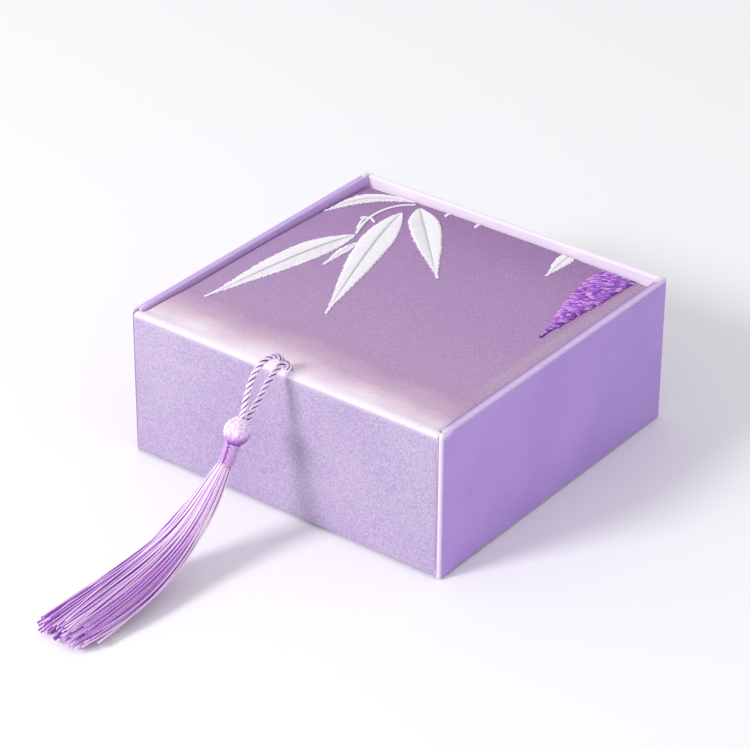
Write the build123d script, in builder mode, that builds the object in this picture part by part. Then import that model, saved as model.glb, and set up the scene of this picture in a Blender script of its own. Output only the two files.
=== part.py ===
from build123d import *

import os
from math import atan, degrees, pi, radians, tan

os.makedirs("parts", exist_ok=True)

# Brocade keepsake box, closed. X is the width, the front with the tassel faces
# -Y, Z is up, and the origin is on the table under the middle of the box.

# Overall size of the closed box
box_width = 100.0
box_depth = 100.0
box_height = 42.3

# Case walls: a board with cloth glued over both faces and over the rim
wall_thickness = 2.0
wrap_cloth = 0.4
turn_in_depth = 12.0
corner_radius = 1.2
rim_outer_radius = 0.8
rim_inner_radius = 0.5
front_lip_width = 0.9
front_lip_setback = 0.1
lip_nose_radius = 1.0

# Bottom of the case
sheet_thickness = 0.4
sheet_inset = 1.0
base_thickness = 2.0

# Inner tray
tray_wall = 1.6
tray_floor_thickness = 1.0
tray_lining_cloth = 0.3
lid_rest_gap = 0.3

# Cushion insert with a ring groove for a bangle
insert_gap = 0.2
insert_rise = 21.3
insert_satin_cloth = 0.4
insert_edge_radius = 2.0
groove_rim_width = 5.6
groove_width = 14.0
groove_depth = 14.0
hub_extra_rise = 2.0
groove_edge_radius = 2.5
hub_edge_radius = 4.0

# Lid: board, foam pad, brocade over the top, lining below
lid_side_gap = 0.4
lid_front_gap = 0.4
lid_depth_below_rim = 5.9
lid_lining_cloth = 0.4
lid_lining_inset = 1.0
lid_board_thickness = 1.2
brocade_cloth = 0.4
crown_below_rim = 0.9
crown_side_drop = 0.78
crown_back_drop = 1.4
crown_peak_share = -0.15
crown_depth = 9.0
lid_edge_radius = 0.8

# Cloth hinge strip on the back wall
strip_thickness = 0.3
strip_height = 14.0
strip_end_gap = 0.4
strip_top_below_rim = 3.4

# Padded roll where the cover turns down at the front
roll_depth = 3.7
roll_below_rim = 0.1
roll_front_below_rim = 1.4
roll_back_below_rim = 2.1
roll_nose_height = 0.5
roll_heel_height = 1.1
roll_brow_depth = 1.6
roll_slope_start = 2.6
roll_side_gap = 0.3

# Slot in the roll that the tassel's loop comes out of
slot_from_front = 2.5
slot_left = -1.3
slot_right = 2.1
slot_front_reach = 1.5
slot_back_reach = 0.9

# Front flap: board, cloth round it, lining inside
flap_thickness = 2.0
flap_cloth = 0.4
flap_lining_inset = 0.9
flap_clearance = 0.3
flap_side_gap = 0.3
flap_top_gap = 0.3
flap_floor_gap = 0.8
flap_edge_radius = 0.35

# Magnets that hold the flap shut
magnet_radius = 4.0
magnet_thickness = 1.0
magnet_fit = 0.05
magnet_spread = 28.0
magnet_height = 22.0

# Embroidery stitched through the brocade
stitch_height = 0.3
stitch_edge_inset = 1.0
twig_width = 0.8
spike_width = 0.7
leaf_shoulder_share = 0.66

# Tassel: one cord doubled through a bound head, and a skirt of threads
cord_diameter = 1.2
cord_end_below_rim = 0.3
head_length = 6.8
head_radius = 3.35
head_neck_radius = 2.1
head_crown_radius = 1.7
collar_length = 5.4
collar_radius = 2.15
collar_turns = 9
collar_groove_share = 0.12
skirt_top_half_width = 2.05
skirt_top_half_thickness = 1.95

# The doubled cord: points across, in front of and above the slot it comes out of
cord_route = [
    (-0.4, 0.0, 0.0),
    (-0.4, -1.2, 3.0),
    (-0.4, -4.4, 5.6),
    (-0.5, -9.1, 5.9),
    (-0.7, -12.9, 2.8),
    (-0.9, -14.9, -2.0),
    (-1.05, -15.8, -5.8),
    (-1.1, -17.5, -8.1),
    (-1.2, -18.9, -9.8),
    (-1.2, -17.87, -11.39),
    (-1.2, -15.98, -11.19),
    (-1.15, -15.19, -9.14),
    (-0.7, -13.5, -7.2),
    (-0.2, -11.15, -4.5),
    (0.4, -7.4, 0.3),
    (0.8, -3.5, 2.9),
    (1.1, -0.9, 2.4),
    (1.2, 0.0, 0.0),
]
cord_arc_share = 0.45

# Middle of the head from the same slot, and the way the head and collar lean
head_centre = (-1.2, -18.2, -10.2)
head_lean = (-0.035, -0.5, -0.865)

# The skirt's centre line: across, in front of the box and above the table,
# each point with half the skirt's width and half its thickness
skirt_stations = [
    ((-1.9, -24.9, 19.3), 3.4, 2.5),
    ((-2.4, -29.9, 14.8), 4.6, 2.6),
    ((-2.9, -35.3, 11.0), 5.6, 2.7),
    ((-3.4, -41.5, 8.0), 6.5, 2.7),
    ((-4.2, -50.1, 5.3), 7.4, 2.6),
    ((-5.0, -59.2, 3.7), 8.0, 2.3),
    ((-5.9, -68.5, 2.5), 8.0, 1.9),
    ((-6.4, -75.3, 2.0), 7.6, 1.6),
]

# Bamboo leaves on the lid: base and tip as shares of the lid's half sizes, then
# how far each side swells, and where, as shares of the leaf's own length
white_leaf_shares = [
    ((-0.637, 0.985), (-0.985, 0.556), 0.310, 0.110, 0.46),
    ((-0.647, 0.423), (-0.853, -0.664), 0.112, -0.060, 0.30),
    ((-0.580, 0.351), (-0.565, 0.030), 0.100, -0.058, 0.36),
    ((-0.616, 0.822), (-0.204, -0.419), 0.086, -0.057, 0.30),
    ((-0.571, 0.937), (0.032, 0.288), 0.100, -0.104, 0.25),
    ((0.412, 1.120), (0.472, 0.713), -0.110, 0.110, 0.42),
]
purple_leaf_share = ((0.851, 1.310), (0.842, 0.114), -0.025, 0.147, 0.30)
twig_shares = [
    (-0.658, 0.448),
    (-0.693, 0.539),
    (-0.721, 0.641),
    (-0.727, 0.736),
    (-0.718, 0.812),
    (-0.697, 0.871),
    (-0.668, 0.918),
    (-0.622, 0.964),
]
spike_shares = [
    ((-0.399, 0.947), (-0.404, 1.010)),
    ((-0.181, 0.941), (-0.193, 1.010)),
]

# Planes and sizes that follow from the values above
half_width = box_width / 2
half_depth = box_depth / 2
inner_half_width = half_width - wall_thickness
inner_back = half_depth - wall_thickness
flap_inner = -half_depth + flap_thickness
wall_front = flap_inner + flap_clearance
lip_front = -half_depth + front_lip_setback
lip_inner = half_width - front_lip_width
board_outer = half_width - wrap_cloth
board_inner = inner_half_width + wrap_cloth
board_front = wall_front + wrap_cloth
board_back_outer = half_depth - wrap_cloth
board_back_inner = inner_back + wrap_cloth
board_top = box_height - wrap_cloth
turn_in_bottom = box_height - turn_in_depth
base_top = sheet_thickness + base_thickness
lid_bottom = box_height - lid_depth_below_rim
tray_top = lid_bottom - lid_rest_gap
strip_front = inner_back - strip_thickness
strip_top = box_height - strip_top_below_rim
tray_inner_half = inner_half_width - tray_wall
tray_inner_back = strip_front - tray_wall
tray_inner_front = wall_front + tray_wall
tray_floor_top = base_top + tray_floor_thickness
insert_bottom = tray_floor_top + tray_lining_cloth
insert_top = insert_bottom + insert_rise
insert_inset = tray_lining_cloth + insert_gap
insert_half = tray_inner_half - insert_inset
insert_front = tray_inner_front + insert_inset
insert_back = tray_inner_back - insert_inset
groove_radius = min(insert_half, -insert_front, insert_back) - groove_rim_width
hub_radius = groove_radius - groove_width
lid_half = inner_half_width - lid_side_gap
lid_back = strip_front - lid_side_gap
lid_front = flap_inner + lid_front_gap
lid_board_bottom = lid_bottom + lid_lining_cloth
lid_board_top = lid_board_bottom + lid_board_thickness
pad_half = lid_half - brocade_cloth
pad_front = lid_front + brocade_cloth
pad_back = lid_back - brocade_cloth
crown_top = box_height - crown_below_rim
crown_peak = crown_peak_share * box_depth
crown_radius = (lid_back - crown_peak) ** 2 / (2 * crown_back_drop)
roll_back = -half_depth + roll_depth
roll_top = box_height - roll_below_rim
roll_front_bottom = box_height - roll_front_below_rim
roll_back_bottom = box_height - roll_back_below_rim
roll_half = lip_inner - roll_side_gap
roll_ear_back = wall_front - roll_side_gap
slot_y = -half_depth + slot_from_front
cord_end_z = box_height - cord_end_below_rim
flap_half = lip_inner - flap_side_gap
flap_top = roll_front_bottom - flap_top_gap
flap_board_front = -half_depth + flap_cloth
flap_board_back = flap_inner - flap_cloth
flap_board_half = flap_half - flap_cloth
flap_board_bottom = flap_floor_gap + flap_cloth
flap_board_top = flap_top - flap_cloth
flap_magnet_front = flap_board_back - magnet_thickness


def block(x_span, y_span, z_span, mode=Mode.ADD):
    """Plain block between two values on each axis, in the piece being made."""
    middle = Vector(*[(low + high) / 2 for low, high in (x_span, y_span, z_span)])
    with Locations(middle):
        Box(
            x_span[1] - x_span[0],
            y_span[1] - y_span[0],
            z_span[1] - z_span[0],
            mode=mode,
        )


def crown(lowered):
    """Slab with the lid's gently domed top, lowered by some thickness of cloth."""
    half_angle = degrees(atan(box_depth / crown_radius))
    hub = (0, crown_peak, crown_top - crown_radius)
    leaning = Vector(0, -1, 0).rotate(Axis.X, half_angle)
    top = crown_radius - lowered
    with BuildPart() as slab:
        with BuildSketch(Plane(origin=hub, x_dir=(1, 0, 0), z_dir=leaning)):
            with BuildLine():
                ThreePointArc(
                    (-half_width, top - crown_side_drop),
                    (0, top),
                    (half_width, top - crown_side_drop),
                )
                Polyline(
                    (half_width, top - crown_side_drop),
                    (half_width, top - crown_depth),
                    (-half_width, top - crown_depth),
                    (-half_width, top - crown_side_drop),
                )
            make_face()
        revolve(axis=Axis(hub, (-1, 0, 0)), revolution_arc=2 * half_angle)
    return slab.part


def insert_form(skin):
    """Cushion block with a ring groove and a raised hub, shrunk by a skin of satin."""
    half = insert_half - skin
    depth_span = (insert_front + skin, insert_back - skin)
    groove_floor = insert_top - groove_depth - skin
    with BuildPart() as form:
        block((-half, half), depth_span, (insert_bottom, insert_top - skin))
        fillet(form.faces().sort_by(Axis.Z)[-1].edges(), radius=insert_edge_radius)
        with BuildSketch(Plane.XY.offset(groove_floor)):
            Circle(groove_radius + skin)
            Circle(hub_radius - skin, mode=Mode.SUBTRACT)
        extrude(amount=groove_depth, mode=Mode.SUBTRACT)
        mouth = form.edges().filter_by(GeomType.CIRCLE).group_by(Axis.Z)[-1]
        fillet(mouth.sort_by(SortBy.RADIUS)[-1], radius=groove_edge_radius)
        with BuildSketch(Plane.XY.offset(groove_floor)):
            Circle(hub_radius - skin)
        extrude(amount=groove_depth + hub_extra_rise)
        hub_rim = form.edges().filter_by(GeomType.CIRCLE).sort_by(Axis.Z)[-1]
        fillet(hub_rim, radius=hub_edge_radius)
    return form.part


def on_lid(shares):
    """Place on the lid from shares of its half sizes."""
    return (shares[0] * lid_half, shares[1] * lid_back)


def leaf_side(base, tip, swell_share, peak_share):
    """Points of one side of a leaf, swelling to its left by a share of its length."""
    along = tip - base
    across = Vector(-along.Y, along.X)
    peak = base + along * peak_share + across * swell_share
    shoulder_share = (1 + peak_share) / 2
    shoulder = base + along * shoulder_share + across * swell_share * leaf_shoulder_share
    return [base, peak, shoulder, tip]


def leaf_face(shares):
    """One leaf as a face between its two curved sides."""
    base = Vector(*on_lid(shares[0]))
    tip = Vector(*on_lid(shares[1]))
    with BuildSketch() as leaf:
        with BuildLine():
            Spline(*leaf_side(base, tip, -shares[2], shares[4]))
            Spline(*leaf_side(base, tip, -shares[3], shares[4]))
        make_face()
    return leaf.sketch


def stitched(outline):
    """Raised stitching: an outline laid on the domed lid, one stitch high."""
    cloth_centre = (0, (roll_back + lid_back) / 2)
    with BuildPart() as stitches:
        with BuildSketch(Plane.XY.offset(lid_board_top)):
            add(outline)
            with Locations(cloth_centre):
                Rectangle(
                    2 * (lid_half - stitch_edge_inset),
                    lid_back - roll_back - 2 * stitch_edge_inset,
                    mode=Mode.INTERSECT,
                )
        extrude(amount=crown_depth)
        add(raised_crown, mode=Mode.INTERSECT)
        add(lid_crown, mode=Mode.SUBTRACT)
    return stitches.part


def magnet_discs(front, radius, mode=Mode.ADD):
    """Pair of discs facing the front, left and right of the middle."""
    with BuildSketch(Plane.XZ.offset(-front)) as faces:
        with Locations((-magnet_spread, magnet_height), (magnet_spread, magnet_height)):
            Circle(radius)
    extrude(faces.sketch, amount=-magnet_thickness, mode=mode)


def arc_radii(points):
    """Radius of each arc of a cord, as large as its two runs allow."""
    radii = []
    for before, here, after in zip(points, points[1:], points[2:]):
        turn = (here - before).get_angle(after - here)
        shorter = min((here - before).length, (after - here).length)
        radii.append(cord_arc_share * shorter / tan(radians(turn / 2)))
    return radii


# Bottom sheet: thin card glued under the case, a little smaller than it
with BuildPart() as bottom_sheet:
    with BuildSketch() as sheet_plan:
        Rectangle(box_width - 2 * sheet_inset, box_depth - 2 * sheet_inset)
        fillet(sheet_plan.vertices(), radius=corner_radius)
    extrude(amount=sheet_thickness)
bottom_sheet.part.label = "bottom_sheet"
export_step(bottom_sheet.part, "parts/bottom_sheet.step")

# Base board: lies between the wall boards on the bottom sheet
with BuildPart() as base_board:
    block((-board_inner, board_inner), (wall_front, board_back_inner), (sheet_thickness, base_top))
base_board.part.label = "base_board"
export_step(base_board.part, "parts/base_board.step")

# Wall boards: plain grey board, covered by the wrap on every face that shows
wall_z = (sheet_thickness, board_top)
wall_y = (board_front, board_back_outer)

with BuildPart() as left_wall:
    block((-board_outer, -board_inner), wall_y, wall_z)
    upright = left_wall.edges().filter_by(Axis.Z).group_by(Axis.Y)[-1]
    fillet(upright.sort_by(Axis.X)[0], radius=corner_radius - wrap_cloth)
left_wall.part.label = "left_wall"
export_step(left_wall.part, "parts/left_wall.step")

with BuildPart() as right_wall:
    block((board_inner, board_outer), wall_y, wall_z)
    upright = right_wall.edges().filter_by(Axis.Z).group_by(Axis.Y)[-1]
    fillet(upright.sort_by(Axis.X)[-1], radius=corner_radius - wrap_cloth)
right_wall.part.label = "right_wall"
export_step(right_wall.part, "parts/right_wall.step")

with BuildPart() as back_wall:
    block((-board_inner, board_inner), (board_back_inner, board_back_outer), wall_z)
back_wall.part.label = "back_wall"
export_step(back_wall.part, "parts/back_wall.step")

# Case wrap: one cloth round three sides, folded over the rim and down inside.
# Beside the flap it runs forward past the boards as a narrow doubled lip.
with BuildPart() as case_wrap:
    with BuildSketch(Plane.XY.offset(sheet_thickness)) as wrap_plan:
        Rectangle(box_width, box_depth)
        fillet(wrap_plan.vertices().group_by(Axis.Y)[-1], radius=corner_radius)
    extrude(amount=box_height - sheet_thickness)
    whole_z = (0, box_height)
    block((-half_width, half_width), (-half_depth, lip_front), whole_z, Mode.SUBTRACT)
    lip_edges = case_wrap.faces().sort_by(Axis.Y)[0].edges().sort_by(Axis.Z)[-1]
    fillet(lip_edges, radius=lip_nose_radius)
    outer_rim = case_wrap.faces().sort_by(Axis.Z)[-1].edges()
    fillet(outer_rim.sort_by(Axis.Y)[1:], radius=rim_outer_radius)
    inner_x = (-inner_half_width, inner_half_width)
    block(inner_x, (-half_depth, inner_back), whole_z, Mode.SUBTRACT)
    block((-lip_inner, lip_inner), (-half_depth, wall_front), whole_z, Mode.SUBTRACT)
    inner_rim = case_wrap.faces().sort_by(Axis.Z)[-1].edges().filter_by(
        lambda edge: edge.center().Y > wall_front
        and edge.center().Y < inner_back + rim_inner_radius
        and abs(edge.center().X) < inner_half_width + rim_inner_radius
        and edge.length > wall_thickness
    )
    fillet(inner_rim, radius=rim_inner_radius)
    add(left_wall.part, mode=Mode.SUBTRACT)
    add(right_wall.part, mode=Mode.SUBTRACT)
    add(back_wall.part, mode=Mode.SUBTRACT)
    below_turn_in = (0, turn_in_bottom)
    inner_y = (wall_front, board_back_inner)
    block((-board_inner, board_inner), inner_y, below_turn_in, Mode.SUBTRACT)
case_wrap.part.label = "case_wrap"
export_step(case_wrap.part, "parts/case_wrap.step")

# Inner tray: four cloth-lined boards that stand on the base and carry the lid
tray_z = (base_top, tray_top)
tray_side_y = (tray_inner_front, tray_inner_back)
tray_width = (-inner_half_width, inner_half_width)

with BuildPart() as tray_front_wall:
    block(tray_width, (wall_front, tray_inner_front), tray_z)
    magnet_discs(wall_front, magnet_radius + magnet_fit, Mode.SUBTRACT)
tray_front_wall.part.label = "tray_front_wall"
export_step(tray_front_wall.part, "parts/tray_front_wall.step")

with BuildPart() as tray_back_wall:
    block(tray_width, (tray_inner_back, strip_front), tray_z)
tray_back_wall.part.label = "tray_back_wall"
export_step(tray_back_wall.part, "parts/tray_back_wall.step")

with BuildPart() as tray_left_wall:
    block((-inner_half_width, -tray_inner_half), tray_side_y, tray_z)
tray_left_wall.part.label = "tray_left_wall"
export_step(tray_left_wall.part, "parts/tray_left_wall.step")

with BuildPart() as tray_right_wall:
    block((tray_inner_half, inner_half_width), tray_side_y, tray_z)
tray_right_wall.part.label = "tray_right_wall"
export_step(tray_right_wall.part, "parts/tray_right_wall.step")

with BuildPart() as tray_floor:
    block((-tray_inner_half, tray_inner_half), tray_side_y, (base_top, tray_floor_top))
tray_floor.part.label = "tray_floor"
export_step(tray_floor.part, "parts/tray_floor.step")

# Tray lining: cloth box, open at the top, glued to the tray's walls and floor
with BuildPart() as tray_lining:
    block((-tray_inner_half, tray_inner_half), tray_side_y, (tray_floor_top, tray_top))
    offset(amount=-tray_lining_cloth, openings=tray_lining.faces().sort_by(Axis.Z)[-1])
tray_lining.part.label = "tray_lining"
export_step(tray_lining.part, "parts/tray_lining.step")

with BuildPart() as tray_magnets:
    magnet_discs(wall_front, magnet_radius)
tray_magnets.part.label = "tray_magnets"
export_step(tray_magnets.part, "parts/tray_magnets.step")

# Cushion insert: foam with a ring groove round a hub, and satin drawn over it
foam_form = insert_form(insert_satin_cloth)
satin_form = insert_form(0)

with BuildPart() as insert_foam:
    add(foam_form)
insert_foam.part.label = "insert_foam"
export_step(insert_foam.part, "parts/insert_foam.step")

with BuildPart() as insert_satin:
    add(satin_form)
    add(foam_form, mode=Mode.SUBTRACT)
insert_satin.part.label = "insert_satin"
export_step(insert_satin.part, "parts/insert_satin.step")

# Hinge cloth: the strip glued down the back wall that the lid turns on
with BuildPart() as hinge_cloth:
    strip_half = lid_half - strip_end_gap
    block((-strip_half, strip_half), (strip_front, inner_back), (strip_top - strip_height, strip_top))
hinge_cloth.part.label = "hinge_cloth"
export_step(hinge_cloth.part, "parts/hinge_cloth.step")

# Lid board and the lining glued under it
pad_y = (pad_front, pad_back)

with BuildPart() as lid_board:
    block((-pad_half, pad_half), pad_y, (lid_board_bottom, lid_board_top))
lid_board.part.label = "lid_board"
export_step(lid_board.part, "parts/lid_board.step")

with BuildPart() as lid_lining:
    lining_half = lid_half - lid_lining_inset
    lining_y = (lid_front + lid_lining_inset, lid_back - lid_lining_inset)
    block((-lining_half, lining_half), lining_y, (lid_bottom, lid_board_bottom))
lid_lining.part.label = "lid_lining"
export_step(lid_lining.part, "parts/lid_lining.step")

# Lid pad: foam with a gentle dome, cut back where the roll sits on it
lid_crown = crown(0)
pad_crown = crown(brocade_cloth)
raised_crown = crown(-stitch_height)
full_width = (-half_width, half_width)

with BuildPart() as lid_foam:
    block((-pad_half, pad_half), pad_y, (lid_board_top, box_height))
    add(pad_crown, mode=Mode.INTERSECT)
    foam_step_y = (-half_depth, roll_back + brocade_cloth)
    foam_step_z = (roll_back_bottom - brocade_cloth, box_height)
    block(full_width, foam_step_y, foam_step_z, Mode.SUBTRACT)
lid_foam.part.label = "lid_foam"
export_step(lid_foam.part, "parts/lid_foam.step")

# Brocade: drawn over the pad and down round the edges of the board
with BuildPart() as lid_brocade:
    block((-lid_half, lid_half), (lid_front, lid_back), (lid_board_bottom, box_height))
    add(lid_crown, mode=Mode.INTERSECT)
    crown_edges = lid_brocade.faces().sort_by(Axis.Z)[-1].edges()
    fillet(crown_edges.sort_by(Axis.Y)[1:], radius=lid_edge_radius)
    block(full_width, (-half_depth, roll_back), (roll_back_bottom, box_height), Mode.SUBTRACT)
    add(lid_foam.part, mode=Mode.SUBTRACT)
    add(lid_board.part, mode=Mode.SUBTRACT)
lid_brocade.part.label = "lid_brocade"
export_step(lid_brocade.part, "parts/lid_brocade.step")

# Roll: soft front edge of the cover, where the cloth turns down to the flap
with BuildPart() as front_roll:
    nose = (-half_depth, roll_front_bottom + roll_nose_height)
    brow = (-half_depth + roll_brow_depth, roll_top)
    heel = (roll_back, roll_back_bottom + roll_heel_height)
    with BuildSketch(Plane.YZ.offset(-roll_half)):
        with BuildLine():
            Line((-half_depth, roll_front_bottom), nose)
            Bezier(nose, (-half_depth, roll_top), brow)
            Bezier(brow, (-half_depth + roll_slope_start, roll_top), heel)
            Polyline(
                heel,
                (roll_back, roll_back_bottom),
                (lid_front, roll_back_bottom),
                (lid_front, roll_front_bottom),
                (-half_depth, roll_front_bottom),
            )
        make_face()
    extrude(amount=2 * roll_half)
    behind_ears = (roll_ear_back, roll_back)
    block((-half_width, -lid_half), behind_ears, (0, box_height), Mode.SUBTRACT)
    block((lid_half, half_width), behind_ears, (0, box_height), Mode.SUBTRACT)
    slot_span = (slot_y - slot_front_reach, slot_y + slot_back_reach)
    block((slot_left, slot_right), slot_span, (roll_back_bottom, box_height), Mode.SUBTRACT)
front_roll.part.label = "front_roll"
export_step(front_roll.part, "parts/front_roll.step")

# Embroidery: white bamboo leaves with their twig, and one purple leaf
with BuildSketch() as white_outline:
    for shares in white_leaf_shares:
        add(leaf_face(shares))
    with BuildLine() as twig:
        Spline(*[on_lid(shares) for shares in twig_shares])
    trace(twig.line, line_width=twig_width)
    for start, end in spike_shares:
        with BuildLine() as spike:
            Line(on_lid(start), on_lid(end))
        trace(spike.line, line_width=spike_width)

white_form = stitched(white_outline.sketch)
purple_form = stitched(leaf_face(purple_leaf_share))

with BuildPart() as white_leaves:
    add(white_form)
white_leaves.part.label = "white_leaves"
export_step(white_leaves.part, "parts/white_leaves.step")

with BuildPart() as purple_leaf:
    add(purple_form)
purple_leaf.part.label = "purple_leaf"
export_step(purple_leaf.part, "parts/purple_leaf.step")

# Front flap: board with magnet pockets, cloth over it and lining inside
with BuildPart() as flap_board:
    board_y = (flap_board_front, flap_board_back)
    board_z = (flap_board_bottom, flap_board_top)
    block((-flap_board_half, flap_board_half), board_y, board_z)
    magnet_discs(flap_magnet_front, magnet_radius + magnet_fit, Mode.SUBTRACT)
flap_board.part.label = "flap_board"
export_step(flap_board.part, "parts/flap_board.step")

with BuildPart() as flap_lining:
    inner_half = flap_half - flap_lining_inset
    inner_z = (flap_floor_gap + flap_lining_inset, flap_top - flap_lining_inset)
    block((-inner_half, inner_half), (flap_board_back, flap_inner), inner_z)
flap_lining.part.label = "flap_lining"
export_step(flap_lining.part, "parts/flap_lining.step")

with BuildPart() as flap_wrap:
    block((-flap_half, flap_half), (-half_depth, flap_inner), (flap_floor_gap, flap_top))
    fillet(flap_wrap.faces().sort_by(Axis.Y)[0].edges(), radius=flap_edge_radius)
    block((-flap_board_half, flap_board_half), board_y, board_z, Mode.SUBTRACT)
    add(flap_lining.part, mode=Mode.SUBTRACT)
flap_wrap.part.label = "flap_wrap"
export_step(flap_wrap.part, "parts/flap_wrap.step")

with BuildPart() as flap_magnets:
    magnet_discs(flap_magnet_front, magnet_radius)
flap_magnets.part.label = "flap_magnets"
export_step(flap_magnets.part, "parts/flap_magnets.step")

# Tassel head and bound collar, both turned about the same leaning axis
slot_point = Vector(0, slot_y, cord_end_z)
lean = Vector(*head_lean).normalized()
head_top = slot_point + Vector(*head_centre) - lean * (head_length / 2)
sideways = Vector(1, 0, 0) - lean * lean.X
turning_plane = Plane(origin=head_top, x_dir=lean.cross(sideways), z_dir=sideways)
turning_axis = Axis(head_top, lean)

with BuildPart() as tassel_head:
    with BuildSketch(turning_plane):
        with BuildLine():
            Line((0, 0), (head_crown_radius, 0))
            ThreePointArc(
                (head_crown_radius, 0),
                (head_radius, head_length / 2),
                (head_neck_radius, head_length),
            )
            Polyline((head_neck_radius, head_length), (0, head_length), (0, 0))
        make_face()
    revolve(axis=turning_axis)
tassel_head.part.label = "tassel_head"
export_step(tassel_head.part, "parts/tassel_head.step")

with BuildPart() as tassel_collar:
    pitch = collar_length / collar_turns
    waist = collar_radius * (1 - collar_groove_share)
    collar_end = head_length + collar_length
    with BuildSketch(turning_plane):
        with BuildLine():
            for turn in range(collar_turns):
                start = head_length + turn * pitch
                Polyline(
                    (waist, start),
                    (collar_radius, start + pitch / 2),
                    (waist, start + pitch),
                )
            Polyline((waist, collar_end), (0, collar_end), (0, head_length), (waist, head_length))
        make_face()
    revolve(axis=turning_axis)
tassel_collar.part.label = "tassel_collar"
export_step(tassel_collar.part, "parts/tassel_collar.step")

# Skirt: the hanging threads as one bundle, spreading and flattening on the table
skirt_start = head_top + lean * collar_end
front_foot = Vector(0, -half_depth, 0)
centres = [skirt_start] + [front_foot + Vector(*station[0]) for station in skirt_stations]

with BuildPart() as tassel_skirt:
    with BuildSketch(Plane(origin=skirt_start, x_dir=(1, 0, 0), z_dir=lean)):
        Ellipse(skirt_top_half_width, skirt_top_half_thickness)
    for index, (place, half_width_here, half_thickness_here) in enumerate(skirt_stations, start=1):
        following = centres[min(index + 1, len(skirt_stations))]
        forward = following - centres[index - 1]
        with BuildSketch(Plane(origin=centres[index], x_dir=(1, 0, 0), z_dir=forward)):
            Ellipse(half_width_here, half_thickness_here)
    loft(ruled=True)
tassel_skirt.part.label = "tassel_skirt"
export_step(tassel_skirt.part, "parts/tassel_skirt.step")

# Cord: one loop, out of the slot, round inside the head and back to the slot
route = [slot_point + Vector(*point) for point in cord_route]
radii = arc_radii(route)

with BuildPart() as tassel_cord:
    with BuildLine() as cord_line:
        FilletPolyline(*route, radius=radii)
    cord_path = cord_line.wire()
    with BuildSketch(Plane(origin=cord_path @ 0, z_dir=cord_path % 0)):
        Circle(cord_diameter / 2)
    sweep(path=cord_path)
tassel_cord.part.label = "tassel_cord"
export_step(tassel_cord.part, "parts/tassel_cord.step")

section_volume = pi * (cord_diameter / 2) ** 2 * cord_path.length
print("cord arc radii", [round(radius, 2) for radius in radii])
print("cord length", round(cord_path.length, 2))
print("cord volume", round(tassel_cord.part.volume, 2), "section by length", round(section_volume, 2))
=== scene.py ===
# %% [markdown]
# # A brocade keepsake box
# This lesson dresses a square, cloth-covered box: padded lid, turned-down front flap,
# embroidered leaves and a tassel. The hard parts (boards, trays, magnets) already exist as
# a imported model, so each lesson step only adds the cloth, thread and finish that a maker
# would add by hand, in the same frame and in metres.

import bisect
import random
from math import atan2, cos, exp, hypot, pi, radians, sin, sqrt, tau

import bmesh
import bpy
from mathutils import Matrix, Vector, noise


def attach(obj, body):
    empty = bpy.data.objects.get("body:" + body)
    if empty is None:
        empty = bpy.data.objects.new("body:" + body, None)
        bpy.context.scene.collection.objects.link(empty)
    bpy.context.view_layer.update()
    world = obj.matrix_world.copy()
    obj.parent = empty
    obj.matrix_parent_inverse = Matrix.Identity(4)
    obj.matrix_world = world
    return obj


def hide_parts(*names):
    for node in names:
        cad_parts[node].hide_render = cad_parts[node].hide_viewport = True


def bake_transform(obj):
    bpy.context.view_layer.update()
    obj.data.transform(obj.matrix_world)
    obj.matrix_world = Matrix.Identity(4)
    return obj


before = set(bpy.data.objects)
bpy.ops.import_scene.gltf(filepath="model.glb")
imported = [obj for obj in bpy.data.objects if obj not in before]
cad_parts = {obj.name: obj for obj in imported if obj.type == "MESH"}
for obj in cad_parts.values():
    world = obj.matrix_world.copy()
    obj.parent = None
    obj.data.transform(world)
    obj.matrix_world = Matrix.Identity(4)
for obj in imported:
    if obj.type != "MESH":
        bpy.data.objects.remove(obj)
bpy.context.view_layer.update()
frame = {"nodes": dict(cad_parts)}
nodes = frame["nodes"]
MM = 0.001
DOUBLED = 0.002 * MM

# %% [markdown]
# ## Camera, floor and light
# The camera stands to the right of the front, well above the lid, with a long lens, so the
# edges of the box stay nearly parallel. One large soft lamp stands in front and a little to
# the left, and an even sky fills the shadows. The floor is plain and pale.

# %% Camera
camera_turn = radians(37.2825)
camera_tilt = radians(30.7007)
camera_roll = radians(0.4043)
camera_place = Vector((0.4346, -0.5820, 0.4489))
ahead = Vector((
    -sin(camera_turn) * cos(camera_tilt),
    cos(camera_turn) * cos(camera_tilt),
    -sin(camera_tilt),
))
across = Vector((cos(camera_turn), sin(camera_turn), 0))
above = across.cross(ahead)
camera_right = across * cos(camera_roll) + above * sin(camera_roll)
camera_up = above * cos(camera_roll) - across * sin(camera_roll)
turned = Matrix((camera_right, camera_up, -ahead)).transposed().to_4x4()

lens_data = bpy.data.cameras.new("camera")
lens_data.sensor_width = 36
lens_data.lens = 153.58
camera = bpy.data.objects.new("camera", lens_data)
camera.matrix_world = Matrix.Translation(camera_place) @ turned
bpy.context.collection.objects.link(camera)
bpy.context.scene.camera = camera

# %% Helpers for hand modelling
def start_clean():
    """Leaves edit mode and selects nothing, so the next operator acts only on its piece."""
    if bpy.context.object and bpy.context.object.mode != "OBJECT":
        bpy.ops.object.mode_set(mode="OBJECT")
    bpy.ops.object.select_all(action="DESELECT")


def keep_place(name):
    """Names the active piece and moves its place into its mesh."""
    piece = bpy.context.object
    piece.name = name
    piece.data.name = name
    bpy.ops.object.transform_apply(location=True, rotation=True, scale=True)
    return piece


def take(piece):
    """Selects one piece and nothing else, so that operators act on it alone."""
    start_clean()
    piece.select_set(True)
    bpy.context.view_layer.objects.active = piece


def open_all(piece, action="SELECT"):
    """Takes a piece into edit mode with everything in it selected, or nothing."""
    take(piece)
    bpy.ops.object.mode_set(mode="EDIT")
    bpy.ops.mesh.select_all(action=action)


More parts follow.
